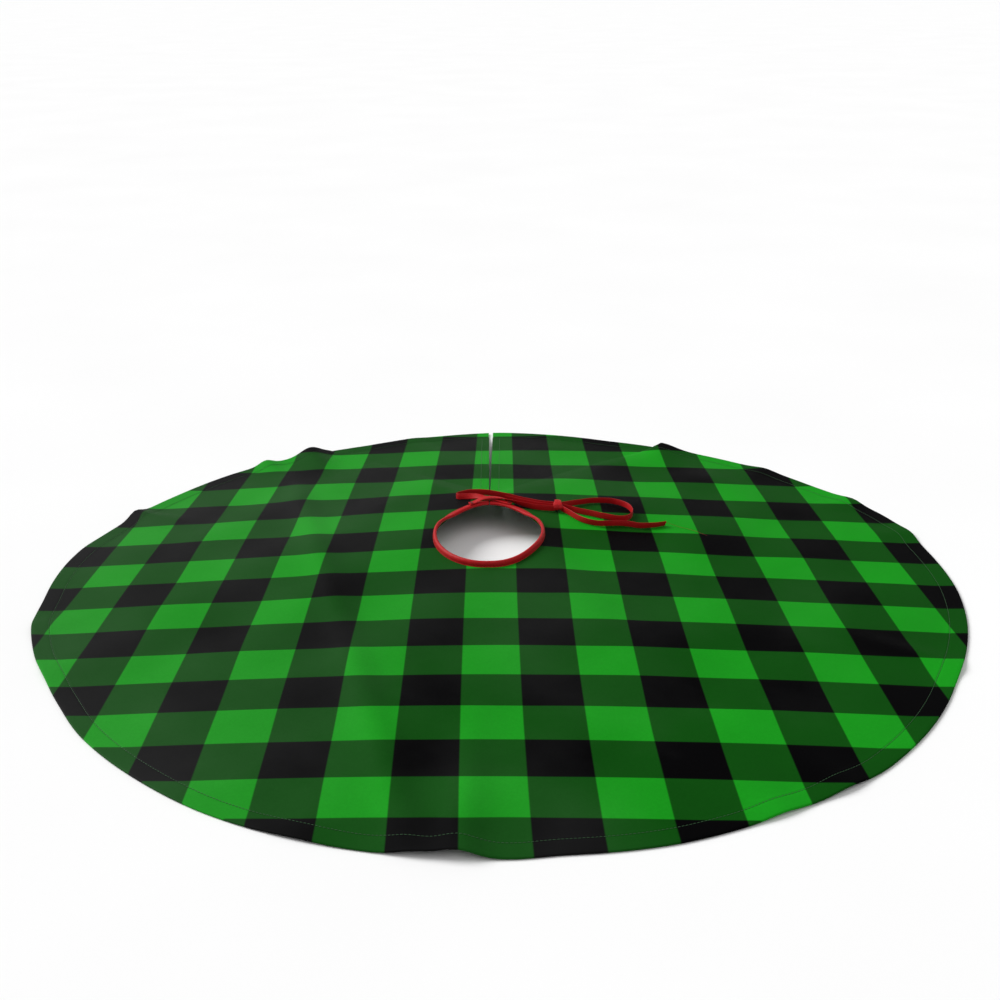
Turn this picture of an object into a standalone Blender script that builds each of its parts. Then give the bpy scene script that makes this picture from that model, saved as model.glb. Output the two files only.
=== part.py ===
"""A round tree skirt: one layer of cloth with a neck hole, a back slit, turned hems, red binding and ties.

The cloth lies on the floor as a low cone, raised at the neck. +Z is up, the slit is at the back (+Y), and the
origin is the centre of the outer edge, on the floor. All sizes are in metres.
"""

import math

import bmesh
import bpy
from mathutils import Vector

# Cloth
SKIRT_RADIUS = 0.4572
CLOTH = 0.0008
GAP = 0.0003

# Neck hole: an oval that the ties draw out towards the slit
NECK_X = -0.013
NECK_Y = 0.034
NECK_HALF_WIDTH = 0.053
NECK_HALF_DEPTH = 0.076
NECK_HEIGHT = 0.030

# Turned hems, each stitched near its inner edge
HEM_DEPTH = 0.019
HEM_LAYERS = 0.0012
SLIT_OPENING = 0.006
SLIT_HEM_DEPTH = 0.012
STITCH_MARGIN = 0.0025
HEM_STITCH_INSET = HEM_DEPTH - STITCH_MARGIN
SLIT_STITCH_INSET = SLIT_HEM_DEPTH - STITCH_MARGIN
THREAD = 0.0005
HEM_CLEARANCE = 0.0012
FOLDED_HEM_SETBACK = 0.003

# Neck binding: tape folded over the edge of the hole
BINDING_REACH = 0.0062
BINDING_LIP = 0.0013
BINDING_STITCH_INSET = BINDING_REACH - 0.0016

# Ties: the same tape, folded shut
TAPE_WIDTH = 0.0068
TAPE_THICKNESS = 0.0016
TIE_COVER = 4 * TAPE_WIDTH
KNOT = (0.0620, 0.1070, 0.0062)
KNOT_SIZE = (0.0100, 0.0200, 0.0118)
KNOT_FULLNESS = 0.72
BARTACK_SIZE = (0.0022, 0.0058, 0.0006)
BARTACK_SECTION = ((-0.5, 0.0), (0.5, 0.0), (0.5, 0.6), (0.35, 1.0), (-0.35, 1.0), (-0.5, 0.6))
BARTACK_PLACE = 0.0024

# Opening flaps: each folds on a straight crease from the slit to the outer edge
FOLD_START = 0.131
FOLD_ANGLE = math.radians(44.0)
FOLD_GAP = 0.0006

# Mesh fineness
AZIMUTH_STEP = math.radians(4.0)
RINGS = 4
TAPE_STEP = 0.004
BINDING_STEP = math.radians(4.5)
SLIT_HEM_STEP = 0.0381
SLIT_STITCH_STEP = 0.03

RIM_HEIGHT = HEM_LAYERS + GAP + CLOTH
BACK = math.pi / 2

# Tie routes: x, y, height of the tape's centre above the cloth, and roll in degrees (0 on edge, 90 flat)
LEFT_TIE = (
    (-0.0350, 0.1072, 0.0027, 90), (-0.0290, 0.1096, 0.0030, 90), (-0.0210, 0.1126, 0.0048, 90),
    (-0.0130, 0.1144, 0.0054, 88), (-0.0030, 0.1146, 0.0055, 80), (0.0090, 0.1126, 0.0049, 55),
    (0.0220, 0.1082, 0.0040, 25), (0.0340, 0.1042, 0.0038, 8), (0.0452, 0.1016, 0.0040, 0),
    (0.0566, 0.1008, 0.0046, 0),
)
RIGHT_TIE = (
    (0.0110, 0.1068, 0.0027, 90), (0.0040, 0.1098, 0.0028, 90), (-0.0050, 0.1140, 0.0031, 90),
    (-0.0150, 0.1190, 0.0029, 85), (-0.0270, 0.1242, 0.0041, 50), (-0.0390, 0.1284, 0.0040, 15),
    (-0.0480, 0.1322, 0.0038, 0), (-0.0500, 0.1368, 0.0038, 0), (-0.0440, 0.1402, 0.0039, 0),
    (-0.0310, 0.1400, 0.0045, 0), (-0.0150, 0.1362, 0.0046, 0), (0.0060, 0.1302, 0.0045, 0),
    (0.0250, 0.1234, 0.0038, 0), (0.0420, 0.1166, 0.0040, 0), (0.0566, 0.1128, 0.0046, 0),
)
SHORT_TAIL = (
    (0.0566, 0.1068, 0.0046, 0), (0.0440, 0.1092, 0.0040, 0), (0.0300, 0.1142, 0.0038, 0),
    (0.0160, 0.1196, 0.0038, 0), (0.0040, 0.1228, 0.0038, -6),
)
BOW_LOOP = (
    (0.0674, 0.1128, 0.0050, 0), (0.0760, 0.1196, 0.0044, 0), (0.0880, 0.1280, 0.0039, 4),
    (0.1010, 0.1344, 0.0038, 6), (0.1150, 0.1372, 0.0038, 4), (0.1280, 0.1350, 0.0038, 0),
    (0.1390, 0.1270, 0.0038, -4), (0.1452, 0.1140, 0.0038, -8), (0.1450, 0.1000, 0.0038, -4),
    (0.1384, 0.0884, 0.0038, 0), (0.1270, 0.0846, 0.0038, 0), (0.1130, 0.0880, 0.0038, 4),
    (0.0990, 0.0938, 0.0038, 6), (0.0850, 0.0992, 0.0040, 4), (0.0760, 0.1034, 0.0044, 0),
    (0.0674, 0.1068, 0.0050, 0),
)
LONG_TAIL = (
    (0.0674, 0.1008, 0.0046, 0), (0.0740, 0.0920, 0.0042, 0), (0.0820, 0.0800, 0.0039, 0),
    (0.0920, 0.0700, 0.0038, 4), (0.1040, 0.0664, 0.0038, 8), (0.1160, 0.0684, 0.0038, 6),
    (0.1270, 0.0720, 0.0038, 2), (0.1380, 0.0716, 0.0038, 0), (0.1500, 0.0690, 0.0038, 6),
    (0.1640, 0.0716, 0.0036, 14), (0.1780, 0.0774, 0.0034, 24),
)


# Outlines and heights

def rim_radius(azimuth):
    """Distance from the neck centre to the outer edge."""
    along = NECK_X * math.cos(azimuth) + NECK_Y * math.sin(azimuth)
    return -along + math.sqrt(along ** 2 - NECK_X ** 2 - NECK_Y ** 2 + SKIRT_RADIUS ** 2)


def neck_radius(azimuth):
    """Distance from the neck centre to the cut edge of the hole."""
    return 1 / math.hypot(math.cos(azimuth) / NECK_HALF_WIDTH, math.sin(azimuth) / NECK_HALF_DEPTH)


def hem_radius(azimuth):
    """Distance from the neck centre to the inner edge of the outer hem."""
    return rim_radius(azimuth) - HEM_DEPTH


def fold_radius(azimuth, shift):
    """Distance from the neck centre to a flap's crease, moved `shift` towards the flap."""
    from_slit = abs(azimuth - BACK)
    return (FOLD_START * math.sin(FOLD_ANGLE) + shift) / math.sin(FOLD_ANGLE - from_slit)


def point(azimuth, radius):
    return NECK_X + radius * math.cos(azimuth), NECK_Y + radius * math.sin(azimuth)


def height(x, y):
    """Top face of the cloth above the floor: straight down from the neck, level over the outer hem."""
    azimuth = math.atan2(y - NECK_Y, x - NECK_X)
    neck = neck_radius(azimuth)
    share = (math.hypot(x - NECK_X, y - NECK_Y) - neck) / (hem_radius(azimuth) - neck)
    return NECK_HEIGHT + (RIM_HEIGHT - NECK_HEIGHT) * min(max(share, 0.0), 1.0)


def crease_turn(side, outline):
    """The angle from the slit at which a flap's crease meets an outline; side is +1 for the right flap."""
    low, high = 0.0, FOLD_ANGLE - 0.01
    for _ in range(60):
        middle = (low + high) / 2
        azimuth = BACK - side * middle
        if fold_radius(azimuth, 0.0) < outline(azimuth):
            low = middle
        else:
            high = middle
    return low


SLIT_TURN = math.asin(SLIT_OPENING / 2 / rim_radius(BACK))


# Building

def material(name, colour, roughness, metallic=0.0):
    made = bpy.data.materials.new(name)
    made.use_nodes = True
    shader = made.node_tree.nodes["Principled BSDF"]
    shader.inputs["Base Color"].default_value = (*colour, 1.0)
    shader.inputs["Roughness"].default_value = roughness
    shader.inputs["Metallic"].default_value = metallic
    return made


def new_object(name, bm, finish, thickness=0.0):
    """A named object from a bmesh; a thickness grows the surface downwards."""
    mesh = bpy.data.meshes.new(name)
    bm.to_mesh(mesh)
    bm.free()
    mesh.materials.append(finish)
    made = bpy.data.objects.new(name, mesh)
    bpy.context.scene.collection.objects.link(made)
    if thickness:
        layer = made.modifiers.new("cloth_thickness", "SOLIDIFY")
        layer.thickness = thickness
        layer.offset = -1
        layer.use_even_offset = False
    return made


def spread(start, end, step):
    """Even steps from start to end, none larger than `step`."""
    count = max(1, math.ceil(abs(end - start) / step - 1e-9))
    return [start + (end - start) * i / count for i in range(count + 1)]


def add_layer(name, finish, azimuths, inner, outer, rings, drop, thickness):
    """A layer of cloth between two outlines round the neck, its top `drop` below the skirt's top face.

    It has `rings` even rings up to the inner edge of the outer hem, and one more over the hem.
    """
    bm = bmesh.new()
    columns = []
    for azimuth in azimuths:
        near, far = inner(azimuth), outer(azimuth)
        bend = min(max(hem_radius(azimuth), near), far)
        column = []
        for radius in [near + (bend - near) * i / rings for i in range(rings)] + [bend, far]:
            x, y = point(azimuth, radius)
            column.append(bm.verts.new((x, y, height(x, y) - drop)))
        columns.append(column)
    for left, right in zip(columns, columns[1:]):
        for i in range(rings + 1):
            bm.faces.new((left[i], left[i + 1], right[i + 1], right[i]))
    bmesh.ops.remove_doubles(bm, verts=bm.verts, dist=1e-6)
    return new_object(name, bm, finish, thickness)


def add_skin(name, finish, rings):
    """A closed solid through a row of equal rings of points, with flat ends."""
    bm = bmesh.new()
    rows = [[bm.verts.new(corner) for corner in ring] for ring in rings]
    count = len(rows[0])
    for near, far in zip(rows, rows[1:]):
        for i in range(count):
            j = (i + 1) % count
            bm.faces.new((near[i], near[j], far[j], far[i]))
    bm.faces.new(reversed(rows[0]))
    bm.faces.new(rows[-1])
    bmesh.ops.recalc_face_normals(bm, faces=bm.faces)
    return new_object(name, bm, finish)


def add_thread(name, finish, route):
    """A stitching thread of square section on top of the cloth, along (x, y, lift) points."""
    rings = []
    for i, (x, y, lift) in enumerate(route):
        before, after = route[max(i - 1, 0)], route[min(i + 1, len(route) - 1)]
        along = Vector((after[0] - before[0], after[1] - before[1])).normalized()
        side = Vector((along.y, -along.x, 0)) * THREAD / 2
        rise = Vector((0, 0, THREAD))
        low = Vector((x, y, height(x, y) + lift + GAP))
        rings.append((low - side, low + side, low + side + rise, low - side + rise))
    return add_skin(name, finish, rings)


def smooth_route(route, step):
    """Points about `step` apart on a Catmull-Rom curve through the route, each with its roll in radians."""
    stops = [(Vector((x, y, height(x, y) + lift)), math.radians(roll)) for x, y, lift, roll in route]
    made = []
    for i in range(len(stops) - 1):
        knots = [stops[min(max(i + j, 0), len(stops) - 1)] for j in (-1, 0, 1, 2)]
        count = max(1, round((knots[2][0] - knots[1][0]).length / step))
        for k in range(count):
            t = k / count
            weights = (
                (-t + 2 * t ** 2 - t ** 3) / 2,
                (2 - 5 * t ** 2 + 3 * t ** 3) / 2,
                (t + 4 * t ** 2 - 3 * t ** 3) / 2,
                (t ** 3 - t ** 2) / 2,
            )
            place = sum((w * stop[0] for w, stop in zip(weights, knots)), Vector())
            roll = sum(w * stop[1] for w, stop in zip(weights, knots))
            made.append((place, roll))
    made.append(stops[-1])
    return made


def add_tape(name, finish, route):
    """A folded tape along a route, as a flat bar with its edges rounded off."""
    places = smooth_route(route, TAPE_STEP)
    half, thin = TAPE_WIDTH / 2, TAPE_THICKNESS / 2
    section = (
        (-half, -thin / 2), (-half + thin / 2, -thin), (half - thin / 2, -thin), (half, -thin / 2),
        (half, thin / 2), (half - thin / 2, thin), (-half + thin / 2, thin), (-half, thin / 2),
    )
    rings = []
    for i, (place, roll) in enumerate(places):
        along = places[min(i + 1, len(places) - 1)][0] - places[max(i - 1, 0)][0]
        side = Vector((along.y, -along.x, 0)).normalized()
        upright = side.cross(along).normalized()
        wide = upright * math.cos(roll) + side * math.sin(roll)
        across = side * math.cos(roll) - upright * math.sin(roll)
        rings.append([place + wide * u + across * v for u, v in section])
    return add_skin(name, finish, rings)


# Pieces

def flap_azimuths(side):
    """Angles of a flap's slit edge, and of its crease at the hem's inner edge and at the outer edge."""
    turns = (SLIT_TURN, crease_turn(side, hem_radius), crease_turn(side, rim_radius))
    return tuple(BACK - side * turn for turn in turns)


def before_crease(azimuth, right_rim, left_rim):
    """Outer reach of the cloth that stays down: the crease between the flaps' corners, elsewhere the edge."""
    turned = azimuth if azimuth < BACK + math.pi else azimuth - 2 * math.pi
    if right_rim < turned < left_rim:
        return min(fold_radius(turned, -FOLD_GAP / 2), rim_radius(azimuth))
    return rim_radius(azimuth)


def whole_round(first, last):
    """Angles from a point right of the slit, clockwise round the front, to one left of it."""
    return spread(last, first + 2 * math.pi, AZIMUTH_STEP)


def add_panel(finish):
    """The cloth disc without its two opening flaps."""
    slit, at_hem, at_rim = flap_azimuths(1)
    left_slit, left_hem, left_rim = flap_azimuths(-1)
    azimuths = (
        spread(left_slit, left_hem, AZIMUTH_STEP)[:-1]
        + spread(left_hem, left_rim, AZIMUTH_STEP)[:-1]
        + whole_round(at_rim, left_rim)
        + [a + 2 * math.pi for a in spread(at_rim, at_hem, AZIMUTH_STEP)[1:]]
        + [a + 2 * math.pi for a in spread(at_hem, slit, AZIMUTH_STEP)[1:]]
    )

    def outer(azimuth):
        return before_crease(azimuth, at_rim, left_rim)

    add_layer("skirt_panel", finish, azimuths, neck_radius, outer, RINGS, 0.0, CLOTH)


def add_flap_panel(name, finish, side):
    """The corner of the disc beyond a crease."""
    slit, at_hem, at_rim = flap_azimuths(side)
    azimuths = sorted(spread(slit, at_hem, AZIMUTH_STEP)[:-1] + spread(at_hem, at_rim, AZIMUTH_STEP))

    def inner(azimuth):
        return min(fold_radius(azimuth, FOLD_GAP / 2), rim_radius(azimuth))

    add_layer(name, finish, azimuths, inner, rim_radius, RINGS, 0.0, CLOTH)


def add_outer_hem(finish):
    """The turned edge under the panel, cut at the two creases."""
    at_hem, at_rim = flap_azimuths(1)[1:]
    left_hem, left_rim = flap_azimuths(-1)[1:]
    azimuths = (
        spread(left_hem, left_rim, AZIMUTH_STEP)[:-1]
        + whole_round(at_rim, left_rim)
        + [a + 2 * math.pi for a in spread(at_rim, at_hem, AZIMUTH_STEP)[1:]]
    )

    def outer(azimuth):
        return max(before_crease(azimuth, at_rim, left_rim), hem_radius(azimuth))

    add_layer("outer_hem", finish, azimuths, hem_radius, outer, 1, CLOTH + GAP, HEM_LAYERS)


def add_flap_hem(name, finish, side):
    """The turned edge under a flap."""
    slit, at_hem, at_rim = flap_azimuths(side)
    azimuths = sorted(spread(slit, at_hem, AZIMUTH_STEP)[:-1] + spread(at_hem, at_rim, AZIMUTH_STEP))

    def inner(azimuth):
        crease = fold_radius(azimuth, FOLD_GAP / 2)
        return min(max(crease, hem_radius(azimuth)), rim_radius(azimuth))

    add_layer(name, finish, azimuths, inner, rim_radius, 1, CLOTH + GAP, HEM_LAYERS)


def slit_place(side, along, inset):
    """A point beside the slit: `along` from the neck centre, `inset` in from the slit's edge."""
    edge = BACK - side * SLIT_TURN
    x, y = point(edge, along)
    return x + side * inset * math.sin(edge), y - inset * side * math.cos(edge)


def crease_along(inset):
    """How far along the slit the crease is, `inset` in from the slit's edge."""
    return FOLD_START + inset / math.tan(FOLD_ANGLE)


def add_slit_hem(name, finish, side, start, end, step):
    """A turned slit edge under the panel; start and end give the distance along the slit at an inset."""
    bm = bmesh.new()
    count = max(1, round((end(0.0) - start(0.0)) / step))
    rows = []
    for i in range(count + 1):
        row = []
        for inset in (0.0, SLIT_HEM_DEPTH):
            along = start(inset) + (end(inset) - start(inset)) * i / count
            x, y = slit_place(side, along, inset)
            row.append(bm.verts.new((x, y, height(x, y) - CLOTH - GAP)))
        rows.append(row)
    for near, far in zip(rows, rows[1:]):
        ring = (near[0], near[1], far[1], far[0])
        bm.faces.new(ring if side > 0 else reversed(ring))
    return new_object(name, bm, finish, HEM_LAYERS)


def add_slit_edge(label, cloth, thread, side):
    """The hem and stitching beside the slit, in a neck part and a flap part on either side of the crease."""
    behind_binding = NECK_HALF_DEPTH + BINDING_REACH + GAP
    before_hem = hem_radius(BACK) - HEM_CLEARANCE
    parts = (
        (label + "_neck_slit", lambda inset: behind_binding, lambda inset: crease_along(inset) - FOLD_GAP),
        (label + "_slit", lambda inset: crease_along(inset) + FOLDED_HEM_SETBACK, lambda inset: before_hem),
    )
    for name, start, end in parts:
        add_slit_hem(name + "_hem", cloth, side, start, end, SLIT_HEM_STEP)
        first, last = start(SLIT_STITCH_INSET) + THREAD, end(SLIT_STITCH_INSET) - THREAD
        stops = spread(first, last, SLIT_STITCH_STEP)
        route = [(*slit_place(side, along, SLIT_STITCH_INSET), 0.0) for along in stops]
        add_thread(name + "_stitching", thread, route)


def add_hem_stitching(name, finish, azimuths):
    """The row of stitches that holds the outer hem."""
    route = []
    for azimuth in azimuths:
        route.append((*point(azimuth, rim_radius(azimuth) - HEM_STITCH_INSET), 0.0))
    add_thread(name, finish, route)


def neck_place(turn, grow):
    """A point `grow` outside the cut edge of the hole, square to the edge."""
    x, y = NECK_HALF_WIDTH * math.cos(turn), NECK_HALF_DEPTH * math.sin(turn)
    normal = Vector((math.cos(turn) / NECK_HALF_WIDTH, math.sin(turn) / NECK_HALF_DEPTH)).normalized()
    return NECK_X + x + normal.x * grow, NECK_Y + y + normal.y * grow


def neck_turns():
    """Even turns round the neck from one side of the slit to the other."""
    slit = SLIT_OPENING / 2 * NECK_HALF_DEPTH / rim_radius(BACK)
    margin = slit / NECK_HALF_WIDTH
    return spread(BACK + margin, BACK + 2 * math.pi - margin, BINDING_STEP)


def add_binding(finish):
    """Folded tape round the hole: a C section over the cloth's edge with a rounded inner side."""
    inside = -GAP
    bulge = inside - BINDING_LIP
    middle = -CLOTH / 2
    top, low = GAP, -CLOTH - GAP
    section = (
        (BINDING_REACH, top), (BINDING_REACH, top + 0.5 * BINDING_LIP),
        (BINDING_REACH - 0.5 * BINDING_LIP, top + BINDING_LIP), (inside, top + BINDING_LIP),
        (bulge + 0.3 * BINDING_LIP, top + 0.6 * BINDING_LIP), (bulge, middle),
        (bulge + 0.3 * BINDING_LIP, low - 0.6 * BINDING_LIP), (inside, low - BINDING_LIP),
        (BINDING_REACH, low - BINDING_LIP), (BINDING_REACH, low),
        (inside, low), (inside, top),
    )
    rings = []
    for turn in neck_turns():
        ring = []
        for grow, lift in section:
            x, y = neck_place(turn, grow)
            ring.append((x, y, height(x, y) + lift))
        rings.append(ring)
    add_skin("neck_binding", finish, rings)


def add_binding_stitching(finish):
    """One row near the binding's outer edge, left out where the ties lie over it."""
    turns = neck_turns()[1:-1]
    route = [(*neck_place(turn, BINDING_STITCH_INSET), GAP + BINDING_LIP) for turn in turns]
    under_ties = (NECK_X, NECK_Y + NECK_HALF_DEPTH)
    kept = [stop for stop in route if math.dist(stop[:2], under_ties) > TIE_COVER]
    add_thread("neck_binding_stitching", finish, kept)


def add_bartack(name, finish, route):
    """A dense bar of stitches across the start of a tie."""
    start, ahead = smooth_route(route, TAPE_STEP)[0:2]
    along = (ahead[0] - start[0]).normalized()
    side = Vector((along.y, -along.x, 0)).normalized()
    upright = side.cross(along)
    centre = start[0] + along * BARTACK_PLACE + upright * (TAPE_THICKNESS / 2 + GAP)
    length, width, rise = BARTACK_SIZE
    rings = []
    for end in (-0.5, 0.5):
        base = centre + along * length * end
        rings.append([base + side * width * across + upright * rise * up for across, up in BARTACK_SECTION])
    add_skin(name, finish, rings)


def add_knot(finish):
    """The wrapped ties, as a soft rounded lump."""
    x, y, lift = KNOT
    bm = bmesh.new()
    bmesh.ops.create_uvsphere(bm, u_segments=16, v_segments=10, radius=0.5)
    for vert in bm.verts:
        for axis in range(3):
            place = vert.co[axis]
            rounded = math.copysign(abs(2 * place) ** KNOT_FULLNESS, place) / 2
            vert.co[axis] = rounded * KNOT_SIZE[axis]
    bmesh.ops.translate(bm, verts=bm.verts, vec=(x, y, height(x, y) + lift))
    new_object("tie_knot", bm, finish).data.shade_smooth()


def main():
    for old in list(bpy.data.objects):
        bpy.data.objects.remove(old, do_unlink=True)

    cloth = material("printed_cloth", (0.02, 0.20, 0.02), 0.62)
    tape = material("red_tape", (0.40, 0.01, 0.015), 0.55)
    thread = material("green_thread", (0.05, 0.30, 0.05), 0.60)
    red_thread = material("red_thread", (0.35, 0.01, 0.015), 0.60)

    add_panel(cloth)
    add_outer_hem(cloth)
    right, left = flap_azimuths(1), flap_azimuths(-1)
    clear = HEM_CLEARANCE / SKIRT_RADIUS
    add_hem_stitching("outer_hem_stitching", thread, whole_round(right[2] - clear, left[2] + clear))
    for label, side in (("left", -1), ("right", 1)):
        slit, at_hem = flap_azimuths(side)[:2]
        add_flap_panel(label + "_flap_panel", cloth, side)
        add_flap_hem(label + "_flap_hem", cloth, side)
        add_slit_edge(label, cloth, thread, side)
        flap_seam = spread(slit - side * clear, at_hem + side * clear, AZIMUTH_STEP)
        add_hem_stitching(label + "_flap_hem_stitching", thread, flap_seam)

    add_binding(tape)
    add_binding_stitching(red_thread)
    for name, route in (
        ("left_tie", LEFT_TIE), ("right_tie", RIGHT_TIE), ("short_tail", SHORT_TAIL),
        ("bow_loop", BOW_LOOP), ("long_tail", LONG_TAIL),
    ):
        add_tape(name, tape, route)
    add_bartack("left_bartack", red_thread, LEFT_TIE)
    add_bartack("right_bartack", red_thread, RIGHT_TIE)
    add_knot(tape)


main()
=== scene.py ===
import math

import bmesh
import bpy
import numpy as np
from mathutils import Matrix, Vector


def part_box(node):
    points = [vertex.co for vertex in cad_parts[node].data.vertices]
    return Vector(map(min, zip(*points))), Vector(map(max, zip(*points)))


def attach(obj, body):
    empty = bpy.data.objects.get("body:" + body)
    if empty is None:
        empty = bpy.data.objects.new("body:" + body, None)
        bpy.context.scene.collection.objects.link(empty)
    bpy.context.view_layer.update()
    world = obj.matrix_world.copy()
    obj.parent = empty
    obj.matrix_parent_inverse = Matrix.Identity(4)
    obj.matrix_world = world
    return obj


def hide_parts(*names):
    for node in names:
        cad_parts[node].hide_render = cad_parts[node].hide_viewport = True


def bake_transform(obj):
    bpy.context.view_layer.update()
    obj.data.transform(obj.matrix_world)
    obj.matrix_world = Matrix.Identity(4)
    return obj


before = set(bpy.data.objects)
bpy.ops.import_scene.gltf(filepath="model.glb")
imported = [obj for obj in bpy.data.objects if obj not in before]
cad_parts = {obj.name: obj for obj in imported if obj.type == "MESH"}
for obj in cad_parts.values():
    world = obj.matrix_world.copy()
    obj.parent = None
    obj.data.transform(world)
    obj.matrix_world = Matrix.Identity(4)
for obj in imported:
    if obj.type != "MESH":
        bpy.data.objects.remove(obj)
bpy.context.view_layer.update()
scene = bpy.context.scene

# The pattern, in metres: the same sizes as the part
SKIRT_RADIUS = 0.4572
NECK_X, NECK_Y = -0.013, 0.034
NECK_HALF_WIDTH, NECK_HALF_DEPTH = 0.053, 0.076
NECK_HEIGHT, RIM_HEIGHT = 0.030, 0.0023
HEM_DEPTH = 0.019
SLIT_OPENING = 0.006
SLIT_HEM_DEPTH = 0.012
STITCH_MARGIN = 0.0025
BINDING_REACH = 0.0062
FOLD_START = 0.131
FOLD_ANGLE = math.radians(44.0)
BACK = math.pi / 2

# How thick the real cloth and its hems are, and how it is cut into pieces
CLOTH = 0.0005
HEM_HALF = 0.0011
TURNED_LAYERS = 0.0010
SIDE_TURN = math.radians(60.0)
FLAT_ROWS = 90
FRONT_STEP, SIDE_STEP = 0.9, 0.5

# The creases: half the width of the bend, the cloth's lie beside it, and how softly ridges give way to it
CREASE_DEPTH = 0.0004
CREASE_FLAT = 0.006
SKIRT_SIDE_SLOPE, FLAP_SIDE_SLOPE = 0.13, 0.03
CREASE_EASE = 0.0007

# The raised binding: where it stands on the cloth and how far it leans up
COLLAR_FOOT = 0.0056
COLLAR_LEAN = math.radians(76)

# The ribbon and the threads
TAPE_HALF, TAPE_THIN = 0.0033, 0.00065
TIE_STEP = 0.002
KNOT_TUCK = 0.0026
SEAM_THREAD, HEM_THREAD_RADIUS, BINDING_THREAD, BARTACK_THREAD = 0.00016, 0.00021, 0.00019, 0.00017
STITCH_PITCH, STITCH_HALF = 0.0031, 0.00118
BINDING_PITCH, BINDING_HALF = 0.0028, 0.00105
SLIT_RINGS, BINDING_RINGS, BINDING_STOPS = 130, 300, 420

# Tie routes: x, y, height of the tape's centre above the cloth, and roll in degrees (0 on edge, 90 flat)
LEFT_TIE = (
    (-0.0350, 0.1072, 0.0027, 90), (-0.0290, 0.1096, 0.0030, 90), (-0.0210, 0.1126, 0.0048, 90),
    (-0.0130, 0.1144, 0.0054, 88), (-0.0030, 0.1146, 0.0055, 80), (0.0090, 0.1126, 0.0049, 55),
    (0.0220, 0.1082, 0.0040, 25), (0.0340, 0.1042, 0.0038, 8), (0.0452, 0.1016, 0.0040, 0),
    (0.0566, 0.1008, 0.0046, 0),
)
RIGHT_TIE = (
    (0.0110, 0.1068, 0.0027, 90), (0.0040, 0.1098, 0.0028, 90), (-0.0050, 0.1140, 0.0031, 90),
    (-0.0150, 0.1190, 0.0029, 85), (-0.0270, 0.1242, 0.0041, 50), (-0.0390, 0.1284, 0.0040, 15),
    (-0.0480, 0.1322, 0.0038, 0), (-0.0500, 0.1368, 0.0038, 0), (-0.0440, 0.1402, 0.0039, 0),
    (-0.0310, 0.1400, 0.0045, 0), (-0.0150, 0.1362, 0.0046, 0), (0.0060, 0.1302, 0.0045, 0),
    (0.0250, 0.1234, 0.0038, 0), (0.0420, 0.1166, 0.0040, 0), (0.0566, 0.1128, 0.0046, 0),
)
SHORT_TAIL = (
    (0.0566, 0.1068, 0.0046, 0), (0.0440, 0.1092, 0.0040, 0), (0.0300, 0.1142, 0.0038, 0),
    (0.0160, 0.1196, 0.0038, 0), (0.0040, 0.1228, 0.0038, -6),
)
BOW_LOOP = (
    (0.0674, 0.1128, 0.0050, 0), (0.0760, 0.1196, 0.0044, 0), (0.0880, 0.1280, 0.0039, 4),
    (0.1010, 0.1344, 0.0038, 6), (0.1150, 0.1372, 0.0038, 4), (0.1280, 0.1350, 0.0038, 0),
    (0.1390, 0.1270, 0.0038, -4), (0.1452, 0.1140, 0.0038, -8), (0.1450, 0.1000, 0.0038, -4),
    (0.1384, 0.0884, 0.0038, 0), (0.1270, 0.0846, 0.0038, 0), (0.1130, 0.0880, 0.0038, 4),
    (0.0990, 0.0938, 0.0038, 6), (0.0850, 0.0992, 0.0040, 4), (0.0760, 0.1034, 0.0044, 0),
    (0.0674, 0.1068, 0.0050, 0),
)
LONG_TAIL = (
    (0.0674, 0.1008, 0.0046, 0), (0.0740, 0.0920, 0.0042, 0), (0.0820, 0.0800, 0.0039, 0),
    (0.0920, 0.0700, 0.0038, 4), (0.1040, 0.0664, 0.0038, 8), (0.1160, 0.0684, 0.0038, 6),
    (0.1270, 0.0720, 0.0038, 2), (0.1380, 0.0716, 0.0038, 0), (0.1500, 0.0690, 0.0038, 6),
    (0.1640, 0.0716, 0.0036, 14), (0.1780, 0.0774, 0.0034, 24),
)

# How the cloth has been left lying: degrees round the outer edge, and millimetres out (+) or in (-)
EDGE_SHIFT = (
    (3, 0), (8, 0), (11.5, 4), (15, 2), (19, 0), (22, -4), (25, -5), (28, -12), (32, -17), (36, -19),
    (40, -20), (46, -27), (51, -30), (60, -36), (70, -39), (80, -33), (90, -28), (100, -33), (110, -39),
    (119, -36), (128, -29), (134, -25), (140, -21), (146, -19), (151, -17), (155, -14), (160, -11),
    (164, -9), (168, -5), (171, 0), (176, 2), (181, 2), (187, 1), (193, 5), (196, 4), (202, 1), (208, -3),
    (214, -3), (220, 0), (232, 1), (240, 3), (247, 3), (256, 2), (262, 1), (266, 0), (271, 1), (275, -2),
    (280, 0), (286, 2), (298, 1), (304, 3), (310, 5), (316, 3), (322, 1), (331, -3), (337, -2), (346, 0),
    (355, 1),
)

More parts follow.
